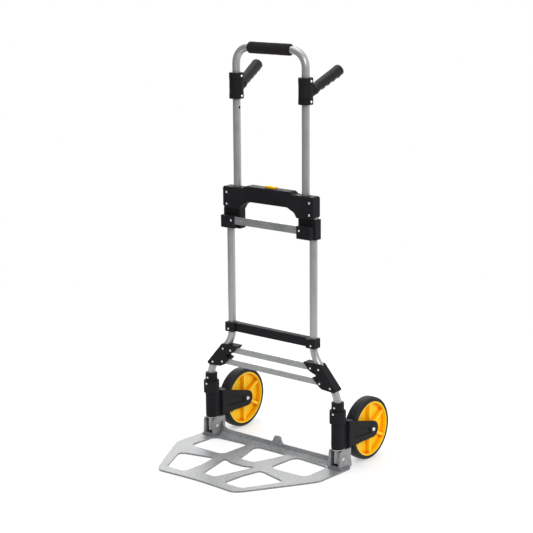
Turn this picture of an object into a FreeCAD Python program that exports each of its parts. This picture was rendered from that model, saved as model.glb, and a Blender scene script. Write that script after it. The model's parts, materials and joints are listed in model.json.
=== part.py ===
"""Folding hand truck: telescopic handle, fold-up toe plate and swing-out wheels.

Millimetres. World frame: X across the truck, -Y the way the toe plate points, Z up, origin on
the toe plate's underside, midway between the columns and under the fold pins.
The frame leans LEAN degrees over the plate. Its pieces are drawn in frame coordinates
(x, y, h), with h measured up the columns from the fold pins, and leaned as they are written.
"""
import FreeCAD, Part
import math
import os

V = FreeCAD.Vector
os.makedirs("parts", exist_ok=True)

# ---- driving dimensions ----------------------------------------------------------------------
LEAN = 2.5              # frame's lean over the toe plate, degrees
PIN_H = 37.0            # fold pins above the floor
FOLD_PIN_R = 4.0
SLIDE_GAP = 0.35        # radial gap between pieces that slide or turn on each other
RUN_GAP = 0.05          # radial gap of a pin or axle in its hole
SEAT_GAP = 0.1          # gap between pieces fixed to each other
STOP_GAP = 0.5          # gap left at a stop

# Tubes. Heights h are above the fold pins.
TUBE_R = 12.0
TUBE_WALL = 1.6
TUBE_SPACE = 5.0        # between a lower tube and the handle tube beside it
MAST_X = 162.0          # lower tubes, either side of the middle
HANDLE_X = MAST_X - 2 * TUBE_R - TUBE_SPACE
COLUMN_X = 254.0        # wheel columns, where the lower tubes end
MAST_TOP_H = 801.0
BEND_TOP_H = 315.0      # corner of the lower tube's outward bend
BEND_LOW_H = 197.0      # corner of its bend back to upright
MAST_BEND_R = 80.0
TUBE_FOOT_H = -16.0
HANDLE_TOP_H = 1241.0   # centre line of the top bar
HANDLE_BEND_R = 50.0
HANDLE_TRAVEL = 268.0
FOAM_END = 3.0          # bare tube between the foam and each bend
FOAM_LENGTH = 2 * (HANDLE_X - HANDLE_BEND_R - FOAM_END)
FOAM_WALL = 6.0
FOAM_R = TUBE_R + FOAM_WALL
FOAM_ROUND = 5.0

# Rings pinned to the handle above and below each swivelling side grip.
RING_R = TUBE_R + 10.5
RING_FLAT = TUBE_R + 9.0                      # flats for the rivet heads, from the tube's centre
RING_GAP = 0.8
RING_TOP_H = (HANDLE_TOP_H - 97.2, HANDLE_TOP_H - 79.0)
RING_LOW_H = (HANDLE_TOP_H - 158.0, HANDLE_TOP_H - 141.0)
HUB_R = TUBE_R + 10.0
HUB_H = (RING_LOW_H[1] + RING_GAP, RING_TOP_H[0] - RING_GAP)
GRIP_RISE = 25.5        # side grips: rise above level and outward turn, degrees
GRIP_TURN = 10.5
GRIP_ROOT_H = HUB_H[0] + 9.2
GRIP_START = HUB_R + 12.0                     # along the grip, where the rubber sleeve begins
GRIP_LENGTH = 157.0
GRIP_R = 18.0
GRIP_DOME = 10.0        # rounding of the sleeve's free end
GRIP_CORE_R = 9.0
GRIP_NECK_R = 16.0
GRIP_END_WALL = 12.0    # rubber beyond the end of the core

# Crossbar housing round the four tubes.
HOUSING_HALF = MAST_X + TUBE_R + 2.0
HOUSING_FRONT = TUBE_R + 10.0
HOUSING_BACK = TUBE_R + 3.0
HOUSING_SIDE_H = MAST_TOP_H + 8.0
HOUSING_TOP_H = MAST_TOP_H + 16.0
HOUSING_LEG_H = MAST_TOP_H - 61.0
HOUSING_ARCH_H = MAST_TOP_H - 33.0
HOUSING_STEP_X = HANDLE_X - 49.0
HOUSING_STEP_W = 12.0
HOUSING_WALL = 4.0
HOUSING_EDGE = 2.5      # rounding of the outer edges
ARCH_HALF = HANDLE_X - 57.0
ARCH_LEG_X = HANDLE_X - TUBE_R - 9.0
ARCH_SHOULDER = (9.0, 15.0)                   # from the leg's foot to the arch's shoulder
HOUSING_RIVETS = ((MAST_X - 1.0, MAST_TOP_H - 10.0), (MAST_X - 1.0, MAST_TOP_H - 47.0))
RIVET_R = 4.0
RIVET_HEAD = 1.6
RIVET_SHANK = 2.4
GUIDE_X = (HANDLE_X - 37.0, HANDLE_X - 29.0)  # walls that guide the lock pins

# Release button and lock pins.
BUTTON_HALF = 19.5
BUTTON_DEPTH = 15.0
BUTTON_STAND = 6.0
BUTTON_TRAVEL = 5.0
BUTTON_FLANGE = 3.0
BUTTON_WEB = 3.0        # thickness of the web that draws the pins
BUTTON_WEB_DROP = 8.0   # web below the lock pins
SLOT_X = 34.0           # where the pin's cross peg sits in the button's slanted slot
PEG_R = 2.0
LOCK_H = MAST_TOP_H - 13.0                    # lock pins and the handle tubes' lower holes
LOCK_HOLE_R = 4.4
LOCK_PIN_R = 3.4
LOCK_PIN_CLEAR = 0.6    # pin tip to handle tube with the pin drawn back
LOCK_SPRING = 20.0      # length of the spring behind each pin's stop
PIN_STOP = (2.0, 5.5)   # thickness and radius of the stop
PIN_FORK = (9.0, 8.0)   # depth and height of the pin's forked end

# Sliders at the foot of the handle tubes, and the flat bar between them.
SLIDER_IN = HANDLE_X - TUBE_R - 7.5
SLIDER_OUT = MAST_X + TUBE_R + 6.0
SLIDER_BACK = TUBE_R + 3.5
SLIDER_FRONT = TUBE_R + 3.0
SLIDER_BOX_IN = HANDLE_X - 11.0
SLIDER_BOX_OUT = MAST_X + 12.5
SLIDER_BOX_DEPTH = 21.0
SLIDER_BOX_FRONT = SLIDER_FRONT + SLIDER_BOX_DEPTH
SLIDER_BOTTOM_H = HOUSING_LEG_H - 62.0
SLIDER_BOX_H = HOUSING_LEG_H - 21.0
HANDLE_FOOT_H = SLIDER_BOTTOM_H + 12.0
FLAT_T = 3.0
SLIDER_BAR_Y = SLIDER_BOX_FRONT - 4.5
SLIDER_BAR_H = (HOUSING_LEG_H - 46.0, HOUSING_LEG_H - 22.0)
SLIDER_BAR_SEAT = 22.0  # flat bar inside each slider
SLIDER_RIVET = (HANDLE_X, (SLIDER_BAR_H[0] + SLIDER_BAR_H[1]) / 2)
NOTCH = (4.0, 9.0, 3.0, 7.0)                  # inset, width, depth and height

# Lower crossbar.
LOWER_BAR_H = (338.0, 367.0)
LOWER_BAR_FRONT = TUBE_R + 7.0
LOWER_BAR_BACK = TUBE_R + 3.0
LOWER_BAR_HALF = MAST_X + TUBE_R + 5.0
LOWER_BAR_IN = MAST_X - TUBE_R - 7.0          # inner face of its end blocks
LOWER_BAR_MID = 8.0     # front of the bar between the tubes
LOWER_BAR_RIVET = (MAST_X + 2.0, LOWER_BAR_H[0] + 9.0)
BLIND = 0.5             # how far a blind rivet hole cuts into the lower tube's seat
BLIND_END = 0.6         # rivet's end short of that seat

# Gussets over the lower tubes' bends, and the two flat bars between them.
# Each corner is set out from the bend's upper corner or from its lower corner.
GUSSET_HALF_T = TUBE_R + 3.5
GUSSET_BARS = ((BEND_LOW_H + 67.5, BEND_LOW_H + 87.5), (BEND_LOW_H + 25.0, BEND_LOW_H + 44.0))
GUSSET_BAR_Y = 6.0
GUSSET_RIVETS = ((MAST_X + 29.0, BEND_LOW_H + 78.0), (MAST_X - 2.5, BEND_LOW_H + 77.0),
                 (COLUMN_X - 19.0, BEND_LOW_H + 26.0), (COLUMN_X - 59.0, BEND_LOW_H + 34.0))
GUSSET_HIGH = ((-31.0, -24.0, 2.0), (33.5, -24.0, 6.0))
GUSSET_FOOT = ((5.0, 21.0, 4.0), (-5.0, 14.0, 3.0), (-51.0, 17.0, 6.0), (-62.0, 24.0, 3.0))
GUSSET_INNER = ((4.0, -69.0, 2.0), (25.0, -62.0, 3.0), (-6.0, -51.0, 3.0))

# Column collars, springs, washers and end plugs.
SKIRT_R = TUBE_R + 13.5
SKIRT_WALL = 3.0
SKIRT_H = (113.0, 154.0)
CAP_R = TUBE_R + 7.5    # collar fixed on the column above the fork
CAP_H = (SKIRT_H[1], SKIRT_H[1] + 26.0)
CAP_LIP = 2.0
COLLAR_RIVETS = (CAP_H[0] + 12.0, SKIRT_H[1] - 7.0)
SLEEVE_R = TUBE_R + 8.0                       # fork's sleeve on the column
SLEEVE_H = (32.0, SKIRT_H[1] - 14.0)
WASHER_T = 1.4
WASHER_R = TUBE_R + 10.5
SPRING_WIRE = 1.5
PLUG_R = TUBE_R - 3.0
PLUG_LOW_H = TUBE_FOOT_H - 6.0

# Wheels and forks.
WHEEL_R = 100.0
WHEEL_CLEAR = 52.5      # wheel's rim to the column's centre
WHEEL_BACK = WHEEL_R + WHEEL_CLEAR            # axle behind the column
WHEEL_OFFSET = 1.0      # wheel plane outboard of the column
TYRE_W = 40.0
TYRE_DEPTH = 13.0
TYRE_SHOULDER = 9.0
TYRE_GAP = 4.0          # tyre to the fork's crown
RIM_R = WHEEL_R - TYRE_DEPTH
RIM_W = TYRE_W - 2.0
RIM_LIP = 5.0
WHEEL_HUB_R = 22.0
HUB_W = TYRE_W + 2.0
WEB_HALF_T = 3.5        # wheel's web between the spokes
SPOKES = 6
SPOKE_W = 9.0
SPOKE_INSET = 3.0       # spokes below the rim's face
AXLE_R = 5.0
AXLE_HEAD = (6.5, 5.0, 2.5)                   # two radii and height
BUSH_R = AXLE_R + 3.5
BUSH_GAP = 0.05
ARM_IN = HUB_W / 2 + 1.0                      # fork arm faces from the wheel plane
ARM_T = 6.5
ARM_OUT = ARM_IN + ARM_T
ARM_END_R = 26.0
ARM_ROOT_Y = SLEEVE_R + 7.0
ARM_ROOT_H = (SLEEVE_H[0] + 2.0, SKIRT_H[0] + 4.0)
CROWN_DEPTH = 16.0
POCKET = 2.6            # depth of the hollow in the arm's outer face
POCKET_ROUND = 3.0

# Toe plate. Every corner of its outline and windows is set out from these sizes.
PLATE_T = 5.0
PLATE_FRONT = 377.0
PLATE_FRONT_DIP = 10.0  # how far the front edge curves in
PLATE_DIP_R = 900.0
PLATE_NOSE_HALF = 148.0
PLATE_HALF = COLUMN_X + 32.0
PLATE_SIDE_Y = -135.0
PLATE_REAR = 58.0
PLATE_EDGE = 28.0       # rear edge between the brackets
RAIL_Y = (4.0, 22.0)
RAIL_TOP = 25.0
TAB_HALF = 22.0
TAB_TOP = 47.0
TAB_R = 11.0
WING_TOP = 47.0         # curved wings from the rear rail up to the brackets
WING_REACH = 26.0

# Brackets that carry the fold pins.
BRACKET_WALL = 8.0
BRACKET_BAY = TUBE_R + 2.0                    # half the width of the bay for the column's foot
BRACKET_HALF = BRACKET_BAY + BRACKET_WALL
BRACKET_FRONT = 17.0
BRACKET_BACK = 40.0
BRACKET_BACK_WALL = 14.0
BRACKET_BASE = PLATE_T + 7.0                  # floor of the bracket above the ground
FLANGE_T = 4.0
EAR_TOP = 29.0          # ear above the fold pin
EAR_CORNER_R = 14.0     # ear's front corner, which swings under the fork

THROUGH = 60.0          # half length of a cutter that passes right through
OUT = {}


# ---- helpers ---------------------------------------------------------------------------------
def box(x, y, z):
    x0, x1 = sorted(x)
    y0, y1 = sorted(y)
    z0, z1 = sorted(z)
    return Part.makeBox(x1 - x0, y1 - y0, z1 - z0, V(x0, y0, z0))


def rod(radius, start, end):
    start, end = V(*start), V(*end)
    return Part.makeCylinder(radius, (end - start).Length, start, end - start)


def ring(outer, inner, start, end):
    return rod(outer, start, end).cut(rod(inner, start, end))


def slab(points, depth, plane="xz", radii=0):
    """An outline with rounded corners, drawn out between two depths along the third axis."""
    low, high = sorted(depth)
    place = {"xz": lambda a, b: V(a, low, b), "yz": lambda a, b: V(low, a, b),
             "xy": lambda a, b: V(a, b, low)}[plane]
    corners = [place(*point) for point in points]
    count = len(corners)
    if not isinstance(radii, (list, tuple)):
        radii = [radii] * count
    reach = []
    for i, corner in enumerate(corners):
        u, w = corners[i - 1] - corner, corners[(i + 1) % count] - corner
        reach.append(radii[i] / math.tan(u.getAngle(w) / 2))
    edges, ends = [], []
    for i, corner in enumerate(corners):
        u, w = corners[i - 1] - corner, corners[(i + 1) % count] - corner
        room = min(u.Length * (0.98 if radii[i - 1] == 0 else 0.49),
                   w.Length * (0.98 if radii[(i + 1) % count] == 0 else 0.49))
        cut_back = min(reach[i], room)
        if cut_back < 1e-6:
            ends.append((corner, corner, None))
            continue
        half = u.getAngle(w) / 2
        u.normalize()
        w.normalize()
        middle = (u + w).normalize()
        radius = cut_back * math.tan(half)
        top = corner + middle * (radius / math.sin(half) - radius)
        ends.append((corner + u * cut_back, corner + w * cut_back, top))
    for i, (start, end, top) in enumerate(ends):
        if top is not None:
            edges.append(Part.Arc(start, top, end).toShape())
        following = ends[(i + 1) % count][0]
        if (following - end).Length > 1e-6:
            edges.append(Part.LineSegment(end, following).toShape())
    along = {"xz": V(0, high - low, 0), "yz": V(high - low, 0, 0), "xy": V(0, 0, high - low)}
    return Part.Face(Part.Wire(edges)).extrude(along[plane])


def pipe(points, bend_r, radius):
    """A round bar along straight runs joined by tangent arcs."""
    points = [V(*p) for p in points]
    edges = []
    here = points[0]
    for before, corner, after in zip(points, points[1:], points[2:]):
        u = (before - corner).normalize()
        w = (after - corner).normalize()
        half = u.getAngle(w) / 2
        reach = bend_r / math.tan(half)
        start, end = corner + u * reach, corner + w * reach
        middle = (u + w).normalize()
        centre = corner + middle * (bend_r / math.sin(half))
        edges.append(Part.LineSegment(here, start).toShape())
        edges.append(Part.Arc(start, centre - middle * bend_r, end).toShape())
        here = end
    edges.append(Part.LineSegment(here, points[-1]).toShape())
    circle = Part.Wire(Part.Circle(points[0], points[1] - points[0], radius).toShape())
    return Part.Wire(edges).makePipeShell([circle], True, False)


def fillet(shape, radius, pick):
    edges = [edge for edge in shape.Edges if pick(edge)]
    return shape.makeFillet(radius, edges)


def fuse(first, *others):
    return first.multiFuse(list(others)).removeSplitter()


def cut(shape, *tools):
    return shape.cut(Part.makeCompound(list(tools)))


def mirror(shape):
    return shape.mirror(V(0, 0, 0), V(1, 0, 0))


def lean(shape):
    """From frame coordinates to the world."""
    shape = shape.copy()
    shape.rotate(V(0, 0, 0), V(1, 0, 0), LEAN)
    shape.translate(V(0, 0, PIN_H))
    return shape


def keep(name, shape, leaned=True):
    OUT[name] = lean(shape) if leaned else shape


def keep_pair(name, shape, leaned=True):
    """shape is the right-hand (+X) piece."""
    keep(name + "_right", shape, leaned)
    keep(name + "_left", mirror(shape), leaned)


def both(shape):
    return Part.makeCompound([shape, mirror(shape)])


def coil(radius, wire, length, turns, start, direction):
    """A round spring drawn as rings of wire joined by a thin backbone, so it stays one solid."""
    start, direction = V(*start), V(*direction).normalize()
    pitch = (length - 2 * wire) / (turns - 1)
    rings = [Part.makeTorus(radius, wire, start + direction * (wire + pitch * k), direction)
             for k in range(turns)]
    side = direction.cross(V(0, 1, 0.1)).normalize() * radius
    spine = Part.makeCylinder(wire * 0.7, length - 2 * wire, start + direction * wire + side, direction)
    return spine.multiFuse(rings)


def rivet(x, y, h, grip, side=-1):
    """Domed head at y, shank going back by grip."""
    head = Part.makeSphere(RIVET_R * 1.25, V(x, y - side * (RIVET_R * 1.25 - RIVET_HEAD), h))
    head = head.common(box((x - 9, x + 9), (y, y + side * 9), (h - 9, h + 9)))
    return head.fuse(rod(RIVET_SHANK, (x, y, h), (x, y - side * grip, h)))


def rivet_hole(x, h, front, back):
    return rod(RIVET_SHANK + SEAT_GAP, (x, front, h), (x, back, h))


def is_circle(edge):
    return edge.Curve.TypeId == "Part::GeomCircle"


def is_upright(edge):
    return abs(edge.Vertexes[0].Z - edge.Vertexes[-1].Z) > 20


# ---- tubes -----------------------------------------------------------------------------------
mast_route = ((MAST_X, 0, MAST_TOP_H), (MAST_X, 0, BEND_TOP_H), (COLUMN_X, 0, BEND_LOW_H),
              (COLUMN_X, 0, TUBE_FOOT_H))
mast_solid = pipe(mast_route, MAST_BEND_R, TUBE_R)
mast_bore = pipe(mast_route, MAST_BEND_R, TUBE_R - TUBE_WALL)
fold_pin_hole = rod(FOLD_PIN_R + RUN_GAP, (COLUMN_X - THROUGH, 0, 0), (COLUMN_X + THROUGH, 0, 0))
cap_rivet_hole = rivet_hole(COLUMN_X, COLLAR_RIVETS[0], -THROUGH, THROUGH)
housing_holes = [rivet_hole(x, h, -THROUGH, THROUGH) for x, h in HOUSING_RIVETS]
keep_pair("lower_tube", cut(mast_solid, mast_bore, fold_pin_hole, cap_rivet_hole, *housing_holes))

handle_route = ((-HANDLE_X, 0, HANDLE_FOOT_H), (-HANDLE_X, 0, HANDLE_TOP_H),
                (HANDLE_X, 0, HANDLE_TOP_H), (HANDLE_X, 0, HANDLE_FOOT_H))
lock_holes = [rod(LOCK_HOLE_R, (HANDLE_X - 2 * TUBE_R, 0, h), (HANDLE_X, 0, h))
              for h in (LOCK_H, LOCK_H + HANDLE_TRAVEL)]
ring_holes = [rod(RIVET_SHANK + SEAT_GAP, (HANDLE_X - TUBE_R - 1, 0, sum(span) / 2),
                  (HANDLE_X + TUBE_R + 1, 0, sum(span) / 2)) for span in (RING_TOP_H, RING_LOW_H)]
keep("handle_loop", cut(pipe(handle_route, HANDLE_BEND_R, TUBE_R),
                        pipe(handle_route, HANDLE_BEND_R, TUBE_R - TUBE_WALL),
                        both(Part.makeCompound(lock_holes + ring_holes))))

foam = fillet(rod(FOAM_R, (-FOAM_LENGTH / 2, 0, HANDLE_TOP_H), (FOAM_LENGTH / 2, 0, HANDLE_TOP_H)),
              FOAM_ROUND, is_circle)
keep("foam_grip", cut(foam, rod(TUBE_R + SEAT_GAP, (-FOAM_LENGTH, 0, HANDLE_TOP_H),
                                (FOAM_LENGTH, 0, HANDLE_TOP_H))))

# ---- side grips between their rings ----------------------------------------------------------
def on_handle(radius, span):
    return rod(radius, (HANDLE_X, 0, span[0]), (HANDLE_X, 0, span[1]))


def ring_rivet_line(span, reach):
    """Reach either side of the handle tube, across its middle and halfway up the ring."""
    middle = (span[0] + span[1]) / 2
    return (HANDLE_X - reach, 0, middle), (HANDLE_X + reach, 0, middle)


ring_rivets = []
for name, span in (("grip_upper_ring", RING_TOP_H), ("grip_lower_ring", RING_LOW_H)):
    flats = box((HANDLE_X - RING_FLAT, HANDLE_X + RING_FLAT), (-RING_R, RING_R), span)
    ring_rivet_hole = rod(RIVET_SHANK + SEAT_GAP, *ring_rivet_line(span, RING_R))
    keep_pair(name, cut(on_handle(RING_R, span).common(flats), on_handle(TUBE_R + SEAT_GAP, span),
                        ring_rivet_hole))
    shank = rod(RIVET_SHANK, *ring_rivet_line(span, RING_FLAT))
    heads = rod(RIVET_R, *ring_rivet_line(span, RING_FLAT + RIVET_HEAD))
    heads = heads.makeChamfer(RIVET_HEAD * 0.6, [edge for edge in heads.Edges if is_circle(edge)])
    heads = heads.cut(rod(RIVET_R + 1, *ring_rivet_line(span, RING_FLAT)))
    ring_rivets.append(fuse(shank, *heads.Solids))
keep("ring_rivets", both(Part.makeCompound(ring_rivets)))

rise, turn = math.radians(GRIP_RISE), math.radians(GRIP_TURN)
grip_way = V(math.sin(turn) * math.cos(rise), math.cos(turn) * math.cos(rise), math.sin(rise))
grip_root = V(HANDLE_X, 0, GRIP_ROOT_H)


def along_grip(distance):
    return grip_root + grip_way * distance


core_length = GRIP_LENGTH - GRIP_END_WALL
core = Part.makeCylinder(GRIP_CORE_R, core_length, grip_root, grip_way)
neck = Part.makeCone(GRIP_NECK_R, GRIP_R - 1.5, GRIP_START, grip_root, grip_way)
neck = neck.common(box((0, 2 * HANDLE_X), (-5, 2 * GRIP_START), HUB_H))
keep_pair("grip_arm", cut(fuse(on_handle(HUB_R, HUB_H), neck, core), on_handle(TUBE_R + SLIDE_GAP, HUB_H)))
sleeve_start = GRIP_START + SEAT_GAP
sleeve = Part.makeCylinder(GRIP_R, GRIP_LENGTH - sleeve_start, along_grip(sleeve_start), grip_way)
far_edge = max(filter(is_circle, sleeve.Edges),
               key=lambda edge: edge.Curve.Center.distanceToPoint(grip_root))
sleeve = sleeve.makeFillet(GRIP_DOME, [far_edge])
sleeve_bore = Part.makeCylinder(GRIP_CORE_R + SEAT_GAP, core_length + SEAT_GAP, grip_root, grip_way)
keep_pair("grip_sleeve", cut(sleeve, sleeve_bore))

# ---- crossbar housing ------------------------------------------------------------------------
half_outline = [(0, HOUSING_TOP_H), (HOUSING_STEP_X, HOUSING_TOP_H),
                (HOUSING_STEP_X + HOUSING_STEP_W, HOUSING_SIDE_H), (HOUSING_HALF, HOUSING_SIDE_H),
                (HOUSING_HALF, HOUSING_LEG_H + 8), (HOUSING_HALF - 8, HOUSING_LEG_H),
                (ARCH_LEG_X, HOUSING_LEG_H),
                (ARCH_LEG_X - ARCH_SHOULDER[0], HOUSING_LEG_H + ARCH_SHOULDER[1]),
                (ARCH_HALF, HOUSING_ARCH_H), (0, HOUSING_ARCH_H)]
half_radii = [0, 6, 6, 7, 3, 3, 2, 18, 22, 0]
housing_outline = half_outline[1:-1] + [(-x, h) for x, h in half_outline[-2:0:-1]]
housing_radii = half_radii[1:-1] + half_radii[-2:0:-1]


def housing(front, back):
    shell = slab(housing_outline, (front, back), "xz", housing_radii)
    face = front if abs(front) > abs(back) else back
    return fillet(shell, HOUSING_EDGE, lambda edge: all(abs(v.Y - face) < 1e-6 for v in edge.Vertexes))


cavity_half = HANDLE_X - TUBE_R - HOUSING_WALL
cavity_depth = (-HOUSING_FRONT + HOUSING_WALL, HOUSING_BACK - HOUSING_WALL)
cavity_foot = HOUSING_ARCH_H + HOUSING_WALL
cavity_side_top = HOUSING_SIDE_H - HOUSING_WALL
cavity = fuse(box((-cavity_half, cavity_half), cavity_depth, (cavity_foot, cavity_side_top)),
              box((-HOUSING_STEP_X + HOUSING_WALL, HOUSING_STEP_X - HOUSING_WALL), cavity_depth,
                  (cavity_foot, HOUSING_TOP_H - HOUSING_WALL)))
mast_pockets = both(rod(TUBE_R + SEAT_GAP, (MAST_X, 0, 0), (MAST_X, 0, MAST_TOP_H + SEAT_GAP)))
handle_bores = both(rod(TUBE_R + SLIDE_GAP, (HANDLE_X, 0, 0), (HANDLE_X, 0, HANDLE_TOP_H)))
button_slot = box((-BUTTON_HALF - SLIDE_GAP, BUTTON_HALF + SLIDE_GAP),
                  (-BUTTON_DEPTH / 2 - SLIDE_GAP, BUTTON_DEPTH / 2 + SLIDE_GAP),
                  (HOUSING_ARCH_H + 20, HOUSING_TOP_H + 5))
pin_tunnel = both(rod(LOCK_PIN_R + SLIDE_GAP, (BUTTON_HALF, 0, LOCK_H), (HANDLE_X, 0, LOCK_H)))
hollow = [cavity, mast_pockets, handle_bores, button_slot, pin_tunnel, *map(both, housing_holes)]
keep("crossbar_front_shell", cut(housing(-HOUSING_FRONT, 0), *hollow))

guides = both(box(GUIDE_X, (SEAT_GAP, HOUSING_BACK - HOUSING_WALL + 1),
                  (cavity_foot - 1, cavity_side_top + 1)))
rear = cut(housing(SEAT_GAP, HOUSING_BACK), *hollow)
guide_bore = both(rod(LOCK_PIN_R + SLIDE_GAP, (SLOT_X, 0, LOCK_H), (HANDLE_X, 0, LOCK_H)))
keep("crossbar_rear_shell", fuse(rear, *cut(guides, guide_bore).Solids))
keep("crossbar_rivets", Part.makeCompound(
    [rivet(side * x, -HOUSING_FRONT, h, HOUSING_FRONT + HOUSING_BACK - SEAT_GAP)
     for side in (-1, 1) for x, h in HOUSING_RIVETS]))

# ---- release button, lock pins and their springs ---------------------------------------------
flange_top = HOUSING_TOP_H - HOUSING_WALL - SLIDE_GAP
cap = fillet(box((-BUTTON_HALF, BUTTON_HALF), (-BUTTON_DEPTH / 2, BUTTON_DEPTH / 2),
                 (flange_top - 1, HOUSING_TOP_H + BUTTON_STAND)), 3.0,
             lambda edge: all(v.Z > HOUSING_TOP_H for v in edge.Vertexes))
flange = box((-SLOT_X - 8, SLOT_X + 8), (-BUTTON_DEPTH / 2 - 1.5, BUTTON_DEPTH / 2 + 1.5),
             (flange_top - BUTTON_FLANGE, flange_top))
web = box((-SLOT_X - 5, SLOT_X + 5), (-BUTTON_WEB / 2, BUTTON_WEB / 2),
          (LOCK_H - BUTTON_WEB_DROP, flange_top))
slots = []
for side in (-1, 1):
    low, high = (side * SLOT_X, 0, LOCK_H), (side * (SLOT_X - BUTTON_TRAVEL), 0, LOCK_H + BUTTON_TRAVEL)
    for end in (low, high):
        slots.append(rod(PEG_R + SLIDE_GAP, (end[0], -5, end[2]), (end[0], 5, end[2])))
    tilt = Part.makeBox(BUTTON_TRAVEL * math.sqrt(2), 10, 2 * (PEG_R + SLIDE_GAP),
                        V(0, -5, -PEG_R - SLIDE_GAP))
    tilt.rotate(V(0, 0, 0), V(0, 1, 0), -45 if side < 0 else -135)
    tilt.translate(V(*low))
    slots.append(tilt)
keep("release_button", cut(fuse(cap, flange, web), *slots))
spring_base = HOUSING_ARCH_H + HOUSING_WALL
keep("button_spring", coil(5.0, 0.8, LOCK_H - BUTTON_WEB_DROP - spring_base - SEAT_GAP, 4,
                           (0, 0, spring_base + SEAT_GAP / 2), (0, 0, 1)))

pin_tip = HANDLE_X - TUBE_R - LOCK_PIN_CLEAR
pin_shaft = rod(LOCK_PIN_R, (SLOT_X + 10, 0, LOCK_H), (pin_tip, 0, LOCK_H))
fork_reach = SLOT_X + 5 + BUTTON_TRAVEL + STOP_GAP
half_depth, half_height = PIN_FORK[0] / 2, PIN_FORK[1] / 2
web_gap = BUTTON_WEB / 2 + SLIDE_GAP
fork_end = cut(box((SLOT_X - 4, fork_reach + 3), (-half_depth, half_depth),
                   (LOCK_H - half_height, LOCK_H + half_height)),
               box((SLOT_X - 9, fork_reach), (-web_gap, web_gap),
                   (LOCK_H - half_height - 1, LOCK_H + half_height + 1)))
peg = rod(PEG_R, (SLOT_X, -half_depth, LOCK_H), (SLOT_X, half_depth, LOCK_H))
spring_start = GUIDE_X[0] - LOCK_SPRING
spring_stop = rod(PIN_STOP[1], (spring_start - PIN_STOP[0], 0, LOCK_H), (spring_start, 0, LOCK_H))
keep_pair("lock_pin", fuse(pin_shaft, fork_end, peg, spring_stop))
keep_pair("lock_spring", coil(4.4, 0.7, LOCK_SPRING - 2 * SEAT_GAP, 6,
                              (spring_start + SEAT_GAP, 0, LOCK_H), (1, 0, 0)))

# ---- sliders at the foot of the handle tubes -------------------------------------------------
neck_top = HOUSING_LEG_H - STOP_GAP
block = box((SLIDER_IN, SLIDER_OUT), (-SLIDER_FRONT, SLIDER_BACK), (SLIDER_BOTTOM_H, neck_top))
block = fillet(block, 4.0, is_upright)
front_box = box((SLIDER_BOX_IN, SLIDER_BOX_OUT), (-SLIDER_BOX_FRONT, -SLIDER_FRONT + 2),
                (SLIDER_BOTTOM_H + 2, SLIDER_BOX_H))
front_box = fillet(front_box, 3.0, lambda edge: all(v.Y < -SLIDER_BOX_FRONT + 1 for v in edge.Vertexes))
notch = box((SLIDER_BOX_IN + NOTCH[0], SLIDER_BOX_IN + NOTCH[0] + NOTCH[1]),
            (-SLIDER_FRONT, -SLIDER_FRONT + NOTCH[2]), (SLIDER_BOTTOM_H - 1, SLIDER_BOTTOM_H + NOTCH[3]))
bar_slot = box((0, SLIDER_BOX_IN + SLIDER_BAR_SEAT + SEAT_GAP),
               (-SLIDER_BAR_Y - SEAT_GAP, -SLIDER_BAR_Y + FLAT_T + SEAT_GAP),
               (SLIDER_BAR_H[0] - SEAT_GAP, SLIDER_BAR_H[1] + SEAT_GAP))
handle_socket = rod(TUBE_R + SEAT_GAP, (HANDLE_X, 0, HANDLE_FOOT_H - SEAT_GAP), (HANDLE_X, 0, HANDLE_TOP_H))
mast_passage = rod(TUBE_R + SLIDE_GAP, (MAST_X, 0, 0), (MAST_X, 0, HANDLE_TOP_H))
slider_hole = rivet_hole(*SLIDER_RIVET, -THROUGH, -TUBE_R - 1.5)
keep_pair("slider", cut(fuse(block, front_box), notch, bar_slot, handle_socket, mast_passage, slider_hole))
bar_rivet_holes = both(rivet_hole(*SLIDER_RIVET, -THROUGH, 0))
slider_bar = box((-SLIDER_BOX_IN - SLIDER_BAR_SEAT, SLIDER_BOX_IN + SLIDER_BAR_SEAT),
                 (-SLIDER_BAR_Y, -SLIDER_BAR_Y + FLAT_T), SLIDER_BAR_H)
keep("slider_flat_bar", cut(slider_bar, bar_rivet_holes))
keep("slider_rivets", Part.makeCompound(
    [rivet(side * SLIDER_RIVET[0], -SLIDER_BOX_FRONT, SLIDER_RIVET[1],
           SLIDER_BOX_FRONT - TUBE_R - 2.0) for side in (-1, 1)]))

# ---- lower crossbar --------------------------------------------------------------------------
end_cap = box((LOWER_BAR_IN, LOWER_BAR_HALF), (-LOWER_BAR_FRONT, LOWER_BAR_BACK), LOWER_BAR_H)
end_cap = fillet(end_cap, 5.0, is_upright)
middle_bar = box((-LOWER_BAR_IN - 2, LOWER_BAR_IN + 2), (-LOWER_BAR_MID, LOWER_BAR_BACK - 3),
                 (LOWER_BAR_H[0] + 1, LOWER_BAR_H[1]))
low_holes = both(rivet_hole(*LOWER_BAR_RIVET, -THROUGH, -TUBE_R + BLIND))
keep("lower_crossbar", cut(fuse(middle_bar, end_cap, mirror(end_cap)), both(mast_solid), low_holes))
keep("lower_crossbar_rivets", Part.makeCompound(
    [rivet(side * LOWER_BAR_RIVET[0], -LOWER_BAR_FRONT, LOWER_BAR_RIVET[1],
           LOWER_BAR_FRONT - TUBE_R - BLIND_END) for side in (-1, 1)]))

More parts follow.
